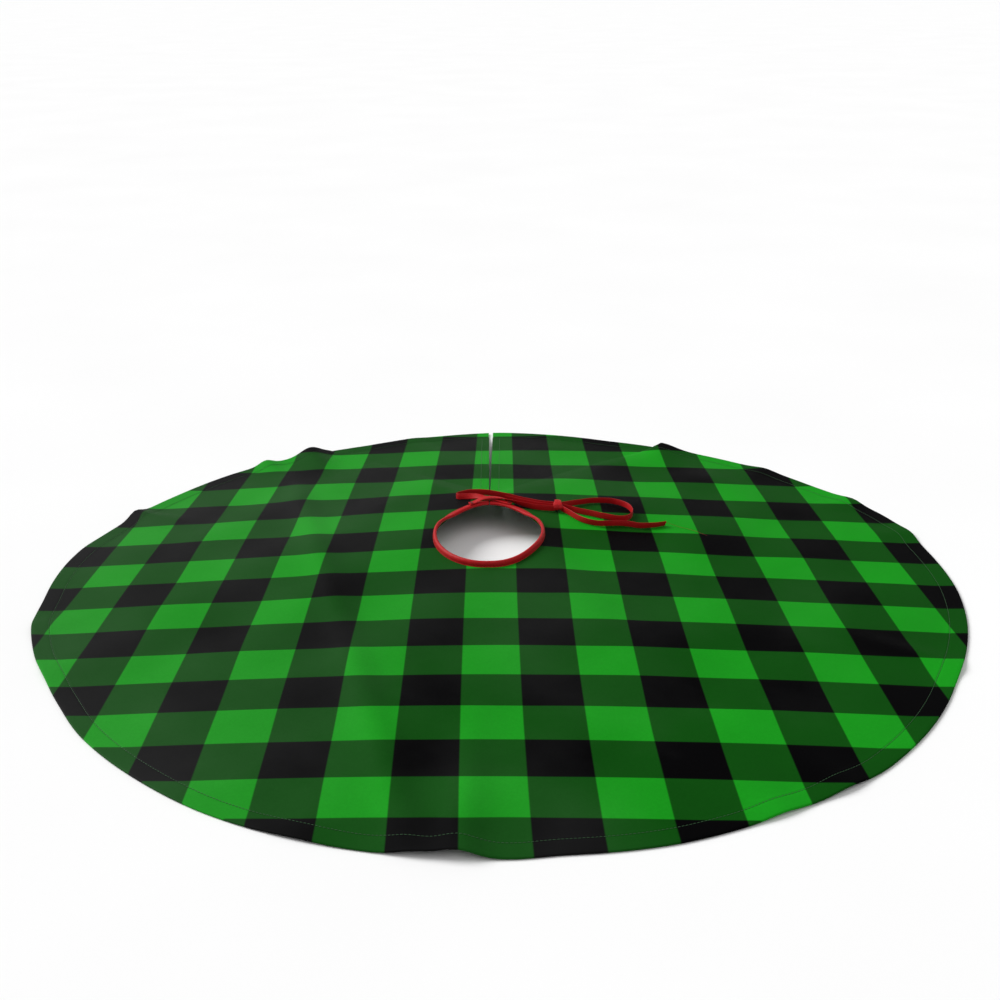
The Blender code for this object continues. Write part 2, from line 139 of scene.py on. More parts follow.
# Soft ridges: start on the cloth, end where they die out, half width, height
RIDGES = (
    ((-0.034, -0.456), (-0.018, -0.220), 0.013, 0.0076),
    ((-0.250, 0.368), (-0.206, 0.240), 0.013, 0.0110),
    ((-0.300, 0.322), (-0.262, 0.262), 0.009, 0.0062),
    ((-0.428, 0.160), (-0.330, 0.112), 0.010, 0.0066),
    ((0.210, 0.380), (0.190, 0.270), 0.018, 0.0080),
    ((0.330, 0.292), (0.290, 0.240), 0.012, 0.0022),
    ((0.410, 0.186), (0.350, 0.150), 0.012, 0.0026),
    ((0.440, 0.094), (0.380, 0.080), 0.012, 0.0018),
    ((0.209, -0.408), (0.170, -0.330), 0.014, 0.0022),
    ((0.262, -0.374), (0.215, -0.300), 0.014, 0.0026),
    ((0.060, -0.060), (0.175, -0.330), 0.020, 0.0042),
    ((0.368, -0.171), (0.300, -0.130), 0.010, 0.0022),
    ((-0.446, -0.114), (-0.370, -0.090), 0.013, 0.0026),
    ((-0.410, -0.196), (-0.340, -0.160), 0.014, 0.0018),
    ((-0.228, 0.160), (-0.268, 0.310), 0.011, 0.0040),
    ((-0.150, -0.424), (-0.110, -0.300), 0.020, 0.0014),
)


# Outlines and lie of the cloth

def smooth(value):
    """An even start and finish between 0 and 1."""
    value = np.clip(value, 0, 1)
    return value * value * (3 - 2 * value)


def neck_radius(azimuth):
    """Distance from the neck centre to the cut edge of the hole."""
    return 1 / np.hypot(np.cos(azimuth) / NECK_HALF_WIDTH, np.sin(azimuth) / NECK_HALF_DEPTH)


def rim_radius(azimuth):
    """Distance from the neck centre to the outer edge."""
    along = NECK_X * np.cos(azimuth) + NECK_Y * np.sin(azimuth)
    return -along + np.sqrt(along ** 2 - NECK_X ** 2 - NECK_Y ** 2 + SKIRT_RADIUS ** 2)


def collar_rise(azimuth):
    """How far the neck's edge has been pushed up round the trunk: not at all by the ties, fully elsewhere."""
    from_back = np.abs((azimuth - BACK + math.pi) % (2 * math.pi) - math.pi)
    return smooth((from_back - math.radians(42)) / math.radians(38))


def collar_foot(azimuth):
    """How far outside the cut edge the raised binding stands."""
    return 0.0012 + 0.0036 * np.abs(np.cos(azimuth))


def collar_seat(azimuth):
    """Where the cloth ends inside the raised binding."""
    return (collar_foot(azimuth) - 0.0008) * collar_rise(azimuth)


def edge_shift(azimuth):
    """The outer edge's shift at an angle about the skirt's centre, smoothed between the noted places."""
    degrees = np.arange(0.0, 360.0, 0.5)
    noted = np.array(EDGE_SHIFT, float)
    shift = np.interp(degrees, noted[:, 0], noted[:, 1] / 1000, period=360)
    for _ in range(8):
        shift = (np.roll(shift, 1) + 2 * shift + np.roll(shift, -1)) / 4
    return np.interp(np.degrees(azimuth) % 360, degrees, shift, period=360)


def crease_room(x, y, share, side):
    """How high the cloth may stand beside a crease, so that the folded flap lies on it without a clash.

    The loose rim of the skirt, beyond the flap's reach, is left free, and so is what lies nearer the neck.
    """
    x, y = x - NECK_X, y - NECK_Y - FOLD_START
    across = -side * math.cos(FOLD_ANGLE) * x + math.sin(FOLD_ANGLE) * y
    along = side * math.sin(FOLD_ANGLE) * x + math.cos(FOLD_ANGLE) * y
    slope = np.where(across < 0, SKIRT_SIDE_SLOPE, FLAP_SIDE_SLOPE)
    room = slope * np.maximum(np.abs(across) - CREASE_FLAT, 0) - CREASE_DEPTH
    free_rim = 0.012 * smooth((share - 0.78) / 0.12) * smooth((-across - 0.010) / 0.015)
    return room + free_rim + 0.03 * smooth(-along / 0.04)


def lift(x, y, share):
    """How far the cloth stands above the plain cone, or below it except near the floor: ridges and unevenness."""
    total = 0.0
    for (x0, y0), (x1, y1), half_width, rise in RIDGES:
        run_x, run_y = x1 - x0, y1 - y0
        along = ((x - x0) * run_x + (y - y0) * run_y) / (run_x ** 2 + run_y ** 2)
        across = ((x - x0) * run_y - (y - y0) * run_x) / math.hypot(run_x, run_y)
        total = total + rise * (1 - smooth(along)) * np.exp(-0.5 * (across / half_width) ** 2)
    uneven = np.sin(31 * x + 9 * y + 0.6) * np.sin(23 * y - 8 * x + 1.1) + 0.6 * np.sin(47 * x - 38 * y)
    total = total + 0.0012 * uneven * smooth((share - 0.1) / 0.2) * (1 - smooth((share - 0.75) / 0.22))
    for side in (1, -1):
        room = crease_room(x, y, share, side)
        total = -CREASE_EASE * np.logaddexp(-total / CREASE_EASE, -room / CREASE_EASE)
    on_floor = smooth((share - 0.75) / 0.2)
    return np.where(total < 0, total * (1 - on_floor), total)


def settle(azimuth, radius, above=0.0):
    """Where a point of the pattern, given round the neck, lies on the laid cloth."""
    neck, bend = neck_radius(azimuth), rim_radius(azimuth) - HEM_DEPTH
    share = np.clip((radius - neck) / (bend - neck), 0, 1)
    x, y = NECK_X + radius * np.cos(azimuth), NECK_Y + radius * np.sin(azimuth)
    out = edge_shift(np.arctan2(y, x)) * share ** 2
    x, y = x + out * np.cos(azimuth), y + out * np.sin(azimuth)
    z = NECK_HEIGHT + (RIM_HEIGHT - NECK_HEIGHT) * share + lift(x, y, share) + above
    return np.stack(np.broadcast_arrays(x, y, z), -1)


def settle_xy(x, y, above=0.0):
    """The same for a point of the pattern given from the skirt's centre."""
    return settle(np.arctan2(y - NECK_Y, x - NECK_X), np.hypot(x - NECK_X, y - NECK_Y), above)


# Mesh building

def new_piece(name, verts, faces, finishes, face_finish=None, soft=True):
    """An object from arrays of points and faces, with one or more finishes."""
    mesh = bpy.data.meshes.new(name)
    mesh.from_pydata([tuple(v) for v in np.asarray(verts).tolist()], [], faces)
    for finish in finishes:
        mesh.materials.append(finish)
    if face_finish is not None:
        mesh.polygons.foreach_set("material_index", face_finish)
    mesh.polygons.foreach_set("use_smooth", [soft] * len(mesh.polygons))
    mesh.update()
    mesh.set_sharp_from_angle(angle=math.radians(62))
    piece = bpy.data.objects.new(name, mesh)
    scene.collection.objects.link(piece)
    return piece


TOP_SIDE, UNDERSIDE, WALL = 0, 1, 2


def shell(top, bottom):
    """Points and faces of a closed sheet between two grids; the third list gives each face's kind.

    Both sides are split along the same diagonals, so that one doesn't show through the other in a fold.
    """
    rows, columns = top.shape[:2]
    verts = np.concatenate([top.reshape(-1, 3), bottom.reshape(-1, 3)])
    under = rows * columns
    faces, kinds = [], []
    for i in range(rows - 1):
        for j in range(columns - 1):
            a, b, c, d = (i * columns + j, (i + 1) * columns + j, (i + 1) * columns + j + 1, i * columns + j + 1)
            for u, v, w in ((a, b, c), (a, c, d)):
                faces += [(u, v, w), (under + w, under + v, under + u)]
                kinds += [TOP_SIDE, UNDERSIDE]
    for i in range(rows - 1):
        a, b = i * columns, (i + 1) * columns
        c, d = a + columns - 1, b + columns - 1
        faces += [(b, a, under + a, under + b), (c, d, under + d, under + c)]
        kinds += [WALL, WALL]
    for j in range(columns - 1):
        last = (rows - 1) * columns + j
        faces += [(j, j + 1, under + j + 1, under + j), (last + 1, last, under + last, under + last + 1)]
        kinds += [WALL, WALL]
    return verts, faces, kinds


def finished(piece, replaces=(), body=None):
    """Turns a piece's faces outwards, hides the CAD pieces that it stands for and hangs it on the body that it rides
    on.
    """
    face_out(piece)
    if body:
        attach(piece, body)
    if replaces:
        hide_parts(*replaces)
    return piece


def swept(rings, closed=False):
    """Points and faces of a skin through equal rings, with flat ends unless it closes on itself."""
    rings = np.asarray(rings)
    count, sides = rings.shape[:2]
    faces = []
    for i in range(count if closed else count - 1):
        k = (i + 1) % count
        for j in range(sides):
            n = (j + 1) % sides
            faces.append((i * sides + j, i * sides + n, k * sides + n, k * sides + j))
    if not closed:
        faces.append(tuple(reversed(range(sides))))
        faces.append(tuple(range((count - 1) * sides, count * sides)))
    return rings.reshape(-1, 3), faces


def face_out(piece):
    """Turns a closed piece's faces outwards."""
    bm = bmesh.new()
    bm.from_mesh(piece.data)
    bmesh.ops.recalc_face_normals(bm, faces=bm.faces)
    bm.to_mesh(piece.data)
    bm.free()


def smooth_route(route, step):
    """Even points on a Catmull-Rom curve through a tie's route on the laid cloth, with each one's roll."""
    stops = [(Vector(settle_xy(x, y, above)), math.radians(roll)) for x, y, above, roll in route]
    made = []
    for i in range(len(stops) - 1):
        near = [stops[min(max(i + j, 0), len(stops) - 1)] for j in (-1, 0, 1, 2)]
        count = max(1, round((near[2][0] - near[1][0]).length / step))
        for k in range(count):
            t = k / count
            weights = (
                (-t + 2 * t ** 2 - t ** 3) / 2,
                (2 - 5 * t ** 2 + 3 * t ** 3) / 2,
                (t + 4 * t ** 2 - 3 * t ** 3) / 2,
                (t ** 3 - t ** 2) / 2,
            )
            place = sum((w * stop[0] for w, stop in zip(weights, near)), Vector())
            made.append((place, sum(w * stop[1] for w, stop in zip(weights, near))))
    made.append(stops[-1])
    return made


# Shared effects

MIX_COLOUR_INPUTS, MIX_COLOUR_OUTPUT = (0, 6, 7), 2


def give(tree, socket, value):
    """Links an input to another socket, or sets it to a plain value."""
    if isinstance(value, bpy.types.NodeSocket):
        tree.links.new(value, socket)
    else:
        socket.default_value = value


def add_node(tree, kind, inputs=(), **settings):
    """A node with its settings and its named or numbered inputs given."""
    node = tree.nodes.new(kind)
    for name, value in settings.items():
        setattr(node, name, value)
    for name, value in inputs:
        give(tree, node.inputs[name], value)
    return node


def maths(tree, operation, *values, clamp=False):
    """One sum on sockets or numbers; returns its output."""
    node = add_node(tree, "ShaderNodeMath", list(enumerate(values)), operation=operation)
    node.use_clamp = clamp
    return node.outputs[0]


def blend_colour(tree, share, first, second):
    """The first colour at a share of 0, the second at 1."""
    node = add_node(tree, "ShaderNodeMix", data_type="RGBA")
    for number, value in zip(MIX_COLOUR_INPUTS, (share, first, second)):
        give(tree, node.inputs[number], value)
    return node.outputs[MIX_COLOUR_OUTPUT]


def new_group(name, inputs, outputs):
    """An empty node group with named sockets; returns its tree, its inputs and its output node."""
    tree = bpy.data.node_groups.new(name, "ShaderNodeTree")
    for label, kind, value in inputs:
        socket = tree.interface.new_socket(label, in_out="INPUT", socket_type=kind)
        if value is not None:
            socket.default_value = value
    for label, kind in outputs:
        tree.interface.new_socket(label, in_out="OUTPUT", socket_type=kind)
    start = tree.nodes.new("NodeGroupInput")
    return tree, start.outputs, tree.nodes.new("NodeGroupOutput")


def weave_group():
    """Crossing threads: a height and a shade for each thread, finer or coarser with Threads Per Metre."""
    tree, given, out = new_group(
        "plain_weave",
        (("Place", "NodeSocketVector", None), ("Threads Per Metre", "NodeSocketFloat", 2200.0),
         ("Unevenness", "NodeSocketFloat", 0.5)),
        (("Height", "NodeSocketFloat"), ("Shade", "NodeSocketFloat")),
    )
    axes = add_node(tree, "ShaderNodeSeparateXYZ", [(0, given["Place"])]).outputs
    turn = maths(tree, "MULTIPLY", given["Threads Per Metre"], math.pi)
    warp = maths(tree, "SINE", maths(tree, "MULTIPLY", axes["X"], turn))
    weft = maths(tree, "SINE", maths(tree, "MULTIPLY", axes["Y"], turn))
    cross = maths(tree, "MULTIPLY", warp, weft)
    slubs = add_node(
        tree, "ShaderNodeTexNoise", [("Vector", given["Place"]), ("Scale", 420.0), ("Detail", 3.0)]
    ).outputs[0]
    uneven = maths(tree, "MULTIPLY", maths(tree, "SUBTRACT", slubs, 0.5), given["Unevenness"])
    height = maths(tree, "ADD", maths(tree, "MULTIPLY_ADD", cross, 0.5, 0.5), uneven)
    tree.links.new(height, out.inputs["Height"])
    grain = maths(tree, "ADD", maths(tree, "MULTIPLY", cross, 0.25), uneven)
    tree.links.new(maths(tree, "MULTIPLY_ADD", grain, 0.3, 1.0), out.inputs["Shade"])
    return tree


def check_group():
    """The printed check: broad stripes both ways, bright where two cross and dark between them."""
    tree, given, out = new_group(
        "buffalo_check",
        (("Print Place", "NodeSocketVector", None), ("Bright", "NodeSocketColor", (0, 0, 0, 1)),
         ("Middle", "NodeSocketColor", (0, 0, 0, 1)), ("Dark", "NodeSocketColor", (0, 0, 0, 1)),
         ("Edge Sharpness", "NodeSocketFloat", 14.0)),
        (("Colour", "NodeSocketColor"),),
    )
    axes = add_node(tree, "ShaderNodeSeparateXYZ", [(0, given["Print Place"])]).outputs
    stripes = []
    for axis in ("X", "Y"):
        wave = maths(tree, "SINE", maths(tree, "MULTIPLY", axes[axis], math.pi))
        stripes.append(maths(tree, "MULTIPLY_ADD", wave, given["Edge Sharpness"], 0.5, clamp=True))
    single = blend_colour(tree, stripes[0], given["Dark"], given["Middle"])
    double = blend_colour(tree, stripes[0], given["Middle"], given["Bright"])
    tree.links.new(blend_colour(tree, stripes[1], single, double), out.inputs["Colour"])
    return tree


def tone_and_sheen_group():
    """Slow drifts in tone, as cloth has that was folded, pressed and handled, and a mask of painted sheen: pale
    patches that grow stronger towards -X, standing in for the gloss of light from the left.
    """
    tree, given, out = new_group(
        "tone_drift_and_painted_sheen",
        (("Place", "NodeSocketVector", None), ("Amount", "NodeSocketFloat", 0.1)),
        (("Shade", "NodeSocketFloat"), ("Roughness Shift", "NodeSocketFloat"), ("Painted Sheen", "NodeSocketFloat")),
    )
    slow = add_node(
        tree, "ShaderNodeTexNoise", [("Vector", given["Place"]), ("Scale", 9.0), ("Detail", 4.0)]
    ).outputs[0]
    drift = maths(tree, "MULTIPLY", maths(tree, "SUBTRACT", slow, 0.5), given["Amount"])
    tree.links.new(maths(tree, "MULTIPLY_ADD", drift, 2.0, 1.0), out.inputs["Shade"])
    tree.links.new(drift, out.inputs["Roughness Shift"])
    # Painted sheen: noise patches made stronger towards -X, a pale haze standing in for the gloss of light from the
    # left.
    side = add_node(tree, "ShaderNodeSeparateXYZ", [(0, given["Place"])]).outputs["X"]
    patches = add_node(
        tree, "ShaderNodeTexNoise", [("Vector", given["Place"]), ("Scale", 4.5), ("Detail", 5.0)]
    ).outputs[0]
    patchy = maths(tree, "MULTIPLY_ADD", patches, 1.6, -0.55)
    painted_sheen = maths(tree, "SUBTRACT", patchy, maths(tree, "MULTIPLY", side, 1.3), clamp=True)
    tree.links.new(painted_sheen, out.inputs["Painted Sheen"])
    return tree


WEAVE, CHECK, TONE_AND_SHEEN = weave_group(), check_group(), tone_and_sheen_group()
CLOTH_ROUGHNESS = 0.48
# Pale grey that the painted sheen haze mixes into the check.
SHEEN_HAZE = (0.13, 0.13, 0.13, 1)


def place_group(tree, group, inputs):
    """Places a shared effect in a material, with its own values; returns its outputs."""
    node = tree.nodes.new("ShaderNodeGroup")
    node.node_tree = group
    for name, value in inputs:
        give(tree, node.inputs[name], value)
    return node.outputs


def new_finish(name, roughness, gloss, sheen, sheen_tint=(1, 1, 1)):
    """A material with its shader's uniform values set; returns it with its tree, shader and object place."""
    made = bpy.data.materials.new(name)
    made.use_nodes = True
    tree = made.node_tree
    shader = tree.nodes["Principled BSDF"]
    shader.inputs["Roughness"].default_value = roughness
    shader.inputs["Specular IOR Level"].default_value = gloss
    shader.inputs["Sheen Weight"].default_value = sheen
    shader.inputs["Sheen Roughness"].default_value = 0.45
    shader.inputs["Sheen Tint"].default_value = (*sheen_tint, 1)
    place = tree.nodes.new("ShaderNodeTexCoord").outputs["Object"]
    return made, tree, shader, place


def tint(tree, colour, shade):
    """A colour made lighter or darker by a shade near 1."""
    return add_node(tree, "ShaderNodeVectorMath", [(0, colour), ("Scale", shade)], operation="SCALE").outputs[0]


def bump_from(tree, shader, height, distance, strength):
    """Fine relief from a height."""
    bump = add_node(
        tree, "ShaderNodeBump", [("Height", height), ("Distance", distance), ("Strength", strength)]
    )
    tree.links.new(bump.outputs[0], shader.inputs["Normal"])


def printed_cloth(name, bright, middle, dark):
    """Smooth printed polyester: the check, drifting tone, a fine weave and painted sheen, a pale haze mixed in more
    strongly towards -X.
    """
    made, tree, shader, place = new_finish(name, CLOTH_ROUGHNESS, 0.016, 0.0)
    print_place = add_node(tree, "ShaderNodeUVMap", uv_map="print").outputs[0]
    check = place_group(
        tree, CHECK, [("Print Place", print_place), ("Bright", bright), ("Middle", middle), ("Dark", dark)]
    )
    tone_and_sheen = place_group(tree, TONE_AND_SHEEN, [("Place", place), ("Amount", 0.20)])
    weave = place_group(tree, WEAVE, [("Place", place), ("Threads Per Metre", 2200.0), ("Unevenness", 0.6)])
    shade = maths(tree, "MULTIPLY", tone_and_sheen["Shade"], weave["Shade"])
    # Painted sheen: the check is mixed towards pale grey where the painted sheen mask is strong.
    sheen_share = maths(tree, "MULTIPLY", tone_and_sheen["Painted Sheen"], 0.14)
    sheen_hazed = blend_colour(tree, sheen_share, check["Colour"], SHEEN_HAZE)
    tree.links.new(tint(tree, sheen_hazed, shade), shader.inputs["Base Color"])
    tree.links.new(maths(tree, "ADD", tone_and_sheen["Roughness Shift"], CLOTH_ROUGHNESS), shader.inputs["Roughness"])
    bump_from(tree, shader, weave["Height"], 0.00012, 0.35)
    return made


def woven_tape(name, colour):
    """Folded bias tape: satin threads on the slant, darker in the grain."""
    made, tree, shader, place = new_finish(name, CLOTH_ROUGHNESS, 0.18, 0.04, (1.0, 0.55, 0.5))
    slanted = add_node(tree, "ShaderNodeMapping", [("Vector", place), ("Rotation", (0.5, 0.6, 0.785))]).outputs[0]
    weave = place_group(tree, WEAVE, [("Place", slanted), ("Threads Per Metre", 2600.0), ("Unevenness", 0.8)])
    tone_and_sheen = place_group(tree, TONE_AND_SHEEN, [("Place", place), ("Amount", 0.16)])
    shade = maths(tree, "MULTIPLY", tone_and_sheen["Shade"], weave["Shade"])
    tree.links.new(tint(tree, colour, shade), shader.inputs["Base Color"])
    tree.links.new(maths(tree, "ADD", tone_and_sheen["Roughness Shift"], CLOTH_ROUGHNESS), shader.inputs["Roughness"])
    bump_from(tree, shader, weave["Height"], 0.00015, 0.5)
    return made


def twisted_thread(name, colour):
    """Sewing thread: a fine twist and a little shine."""
    made, tree, shader, place = new_finish(name, 0.45, 0.20, 0.03)
    twist = add_node(
        tree, "ShaderNodeTexWave",
        [("Vector", place), ("Scale", 900.0), ("Distortion", 1.5), ("Detail", 1.0)], bands_direction="DIAGONAL"
    ).outputs[1]
    shade = maths(tree, "MULTIPLY_ADD", twist, 0.35, 0.8)
    tree.links.new(tint(tree, colour, shade), shader.inputs["Base Color"])
    bump_from(tree, shader, twist, 0.0001, 0.4)
    return made


CLOTH_FACE = printed_cloth(
    "printed_face", (0.009, 0.275, 0.011, 1), (0.004, 0.066, 0.004, 1), (0.0010, 0.0009, 0.0012, 1)
)
CLOTH_REVERSE = printed_cloth(
    "pale_reverse", (0.26, 0.52, 0.27, 1), (0.19, 0.31, 0.19, 1), (0.14, 0.15, 0.145, 1)
)
RED_TAPE = woven_tape("red_bias_tape", (0.43, 0.005, 0.008))
HEM_THREAD = twisted_thread("hem_thread", (0.045, 0.115, 0.050))
RED_THREAD = twisted_thread("binding_thread", (0.20, 0.004, 0.006))


# Camera, floor and light

def set_camera():
    """Standing in front of the skirt and looking a little down on it."""
    data = bpy.data.cameras.new("camera")
    data.lens = 46.42
    data.sensor_width = 36
    data.clip_end = 100
    camera = bpy.data.objects.new("camera", data)
    down, tilt = 0.3967, -0.0053
    turn = Matrix.Rotation(math.pi / 2 - down, 4, "X") @ Matrix.Rotation(tilt, 4, "Z")
    camera.matrix_world = Matrix.Translation((-0.0013, -1.1983, 0.5859)) @ turn
    scene.collection.objects.link(camera)
    scene.camera = camera


def add_sun(name, place, strength, softness):
    """Light that falls evenly over the whole floor, from a wide soft source in the direction of a place."""
    data = bpy.data.lights.new(name, "SUN")
    data.energy = strength
    data.angle = math.radians(softness)
    lamp = bpy.data.objects.new(name, data)
    lamp.location = place
    lamp.rotation_euler = (-Vector(place)).to_track_quat("-Z", "Y").to_euler()
    scene.collection.objects.link(lamp)


def set_studio():
    """White walls, a wide key light from the back left, a weak fill and a pale painted floor."""
    scene.view_settings.view_transform = "Standard"
    world = bpy.data.worlds.new("studio")
    world.use_nodes = True
    tree = world.node_tree
    walls = tree.nodes["Background"]
    walls.inputs["Color"].default_value = (1, 1, 1, 1)
    seen = tree.nodes.new("ShaderNodeLightPath").outputs["Is Camera Ray"]
    tree.links.new(maths(tree, "MULTIPLY_ADD", seen, 0.62, 0.38), walls.inputs["Strength"])
    scene.world = world
    add_sun("key", (-2.4, 1.1, 2.0), 3.0, 34)
    add_sun("fill", (0.8, -1.4, 2.6), 0.45, 60)

    finish = bpy.data.materials.new("floor_paint")
    finish.use_nodes = True
    tree = finish.node_tree
    shader = tree.nodes["Principled BSDF"]
    place = tree.nodes.new("ShaderNodeTexCoord").outputs["Object"]
    mottle = add_node(tree, "ShaderNodeTexNoise", [("Vector", place), ("Scale", 3.0)]).outputs[0]
    tree.links.new(
        blend_colour(tree, mottle, (0.90, 0.90, 0.90, 1), (0.94, 0.94, 0.94, 1)), shader.inputs["Base Color"]
    )
    shader.inputs["Roughness"].default_value = 0.8
    shader.inputs["Specular IOR Level"].default_value = 0.0
    half = 40.0
    corners = [(-half, -half, 0), (half, -half, 0), (half, half, 0), (-half, half, 0)]
    floor = new_piece("studio_floor", corners, [(0, 1, 2, 3)], [finish], soft=False)


set_camera()
set_studio()


# Ties: folded tape

THREADS = {"green_thread": HEM_THREAD, "red_thread": RED_THREAD}
THREAD_SIDES = 6
# A stitch from end to end: share of its half length, then girth and height as shares of its radius
STITCH_PROFILE = (
    (-1.0, 0.15, -1.2), (-0.82, 0.75, -0.2), (-0.4, 1.0, 0.25), (0.4, 1.0, 0.25), (0.82, 0.75, -0.2),
    (1.0, 0.15, -1.2),
)
# The folded tape's section: shares of its half width and half thickness, with the fold's open edge at +1
TAPE_SECTION = (
    (-1.00, -0.35), (-0.94, -0.85), (-0.70, -1.00), (-0.30, -0.92), (0.20, -1.05), (0.62, -0.80), (0.80, -0.52),
    (0.93, -0.62), (1.00, -0.30), (0.955, 0.00), (1.00, 0.30), (0.93, 0.62), (0.80, 0.52), (0.62, 0.80),
    (0.20, 1.05), (-0.30, 0.92), (-0.70, 1.00), (-0.94, 0.85), (-1.00, 0.35),
)


# The knot's two wraps: lean, shift along the ties and size
KNOT_WRAPS = ((0.26, -0.0012, 1.0), (-0.34, 0.0016, 0.93))
WRAP_RINGS, WRAP_THIN = 40, 0.0009
CORE_SIDES, CORE_RINGS = 24, 9
# The loose thread from the long tail's end: x, y, height above the cloth
FRAYED_END = (
    (0.0, 0.0, 0.0045), (0.006, -0.001, 0.0030), (0.014, -0.0045, 0.0012), (0.022, -0.009, 0.0008),
    (0.031, -0.016, 0.0008), (0.040, -0.025, 0.0008),
)


def level_frame(along):
    """The level direction to the right of a heading, and upright to both."""
    side = Vector((along.y, -along.x, 0)).normalized()
    return side, side.cross(along).normalized()


def heading(places, i):
    """From the point before to the point after."""
    return places[min(i + 1, len(places) - 1)][0] - places[max(i - 1, 0)][0]


def tape_axes(along, roll):
    """A rolled tape's wide and thin directions."""
    side, upright = level_frame(along)
    return upright * math.cos(roll) + side * math.sin(roll), side * math.cos(roll) - upright * math.sin(roll)


def tape_rings(places):
    """Rings of a folded tape's section along placed, rolled points, a little uneven in width."""
    rings = []
    for i, (place, roll) in enumerate(places):
        wide, across = tape_axes(heading(places, i), roll)
        swell = TAPE_THIN * (1 + 0.05 * math.sin(i * 0.9) + 0.04 * math.sin(i * 2.3 + 1))
        ease = 0.00012 * math.sin(i * 0.55)
        rings.append([place + wide * (TAPE_HALF * u) + across * (swell * v + ease) for u, v in TAPE_SECTION])
    return rings


def edge_stitches(name, places, body):
    """The row that sews a folded tape shut, close to its open edge, as it shows on both sides."""
    seats = []
    for i in range(2, len(places) - 3, 2):
        place, roll = places[i]
        along = (places[i + 1][0] - place).normalized()
        wide, across = tape_axes(along, roll)
        for sign in (1, -1):
            middle = place + wide * (0.78 * TAPE_HALF) + across * (sign * 0.62 * TAPE_THIN)
            seats.append((middle, along, across * sign, 0.0011))
    return stitches(name, seats, SEAM_THREAD, "red_thread", body=body)


def thread_ring(centre, across, outward, radius):
    """A thread's round section."""
    turns = (2 * math.pi * k / THREAD_SIDES for k in range(THREAD_SIDES))
    return [centre + (across * math.cos(turn) + outward * math.sin(turn)) * radius for turn in turns]


def stitches(name, seats, radius, slot, replaces=(), body=None):
    """Separate stitches, each a rounded bar: seats are middle, direction, outward and half length."""
    verts, faces = [], []
    for middle, along, outward, half in seats:
        across = along.cross(outward).normalized()
        points, skin = swept([
            thread_ring(middle + along * (reach * half) + outward * (rise * radius), across, outward, radius * girth)
            for reach, girth, rise in STITCH_PROFILE
        ])
        start = len(verts)
        verts += points.tolist()
        faces += [tuple(start + v for v in face) for face in skin]
    return finished(new_piece(name, verts, faces, [THREADS[slot]]), replaces, body)


def tucked_into_knot(places, at_start, at_end):
    """Carries a tie's ends a little way on, into the knot."""
    places = list(places)
    if at_start:
        place, roll = places[0]
        places.insert(0, (place + (place - places[1][0]).normalized() * KNOT_TUCK, roll))
    if at_end:
        place, roll = places[-1]
        places.append((place + (place - places[-2][0]).normalized() * KNOT_TUCK, roll))
    return places


def add_tie(name, route, node, body, near_end, far_end, extra=()):
    """A tie's visible tape, which leaves at its first point, with the stitches along its open edge."""
    places = tucked_into_knot(smooth_route(route, TIE_STEP), near_end == "knot", far_end == "knot")
    piece = finished(new_piece(name, *swept(tape_rings(places)), [RED_TAPE]), [node], body)
    seam = edge_stitches(name + "_seam", places, body)


def knot_wrap(middle, half, lean, offset, scale):
    """One turn of tape round the ties, leaning to one side."""
    rings = []
    for i in range(WRAP_RINGS):
        turn = 2 * math.pi * i / WRAP_RINGS
        y, z = math.cos(turn), math.sin(turn)
        crinkle = 1 + 0.035 * math.sin(5 * turn + lean * 9) + 0.02 * math.sin(11 * turn)
        centre = Vector((
            offset + lean * half.y * 0.35 * y, y * half.y * 0.90 * crinkle, z * half.z * 0.68 * crinkle
        )) * scale
        outward = Vector((0, y / half.y, z / half.z)).normalized()
        pinch = 0.78 + 0.12 * math.sin(3 * turn + lean * 4)
        rings.append([
            middle + centre + Vector((u * TAPE_HALF * pinch, 0, 0)) + outward * (v * WRAP_THIN)
            for u, v in TAPE_SECTION
        ])
    return swept(rings, closed=True)


def knot_middle(middle, half):
    """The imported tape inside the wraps."""
    rings = []
    for k in range(CORE_RINGS):
        tilt = math.pi * (k + 0.5) / CORE_RINGS
        ring = []
        for i in range(CORE_SIDES):
            turn = 2 * math.pi * i / CORE_SIDES
            bulge = 1 + 0.06 * math.sin(4 * turn + k)
            ring.append(middle + Vector((
                half.x * 0.98 * math.cos(tilt),
                half.y * 0.88 * math.sin(tilt) * math.cos(turn) * bulge,
                half.z * 0.66 * math.sin(tilt) * math.sin(turn) * bulge,
            )))
        rings.append(ring)
    return swept(rings)


def add_knot():
    """The knot: two turns of tape wrapped tightly round the ties, over a packed middle."""
    low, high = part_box("tie_knot")
    middle, half = (low + high) / 2, (high - low) / 2
    wraps = []
    for i, (lean, offset, scale) in enumerate(KNOT_WRAPS):
        piece = new_piece(f"knot_wrap_{i + 1}", *knot_wrap(middle, half, lean, offset, scale), [RED_TAPE])
        wraps.append(finished(piece, body="skirt"))
    piece = new_piece("knot_core", *knot_middle(middle, half), [RED_TAPE])
    return [finished(piece, ["tie_knot"], "skirt"), *wraps]


def add_frayed_end():
    """A loose thread that has come away from the long tail's cut end."""
    x, y = LONG_TAIL[-1][:2]
    places = smooth_route([(x + dx, y + dy, above, 0) for dx, dy, above in FRAYED_END], 0.0015)
    rings = []
    for i, (place, _) in enumerate(places):
        side, upright = level_frame(heading(places, i).normalized())
        rings.append(thread_ring(place, side, upright, 0.00014))
    return finished(new_piece("loose_thread", *swept(rings), [RED_THREAD]), body="tail")


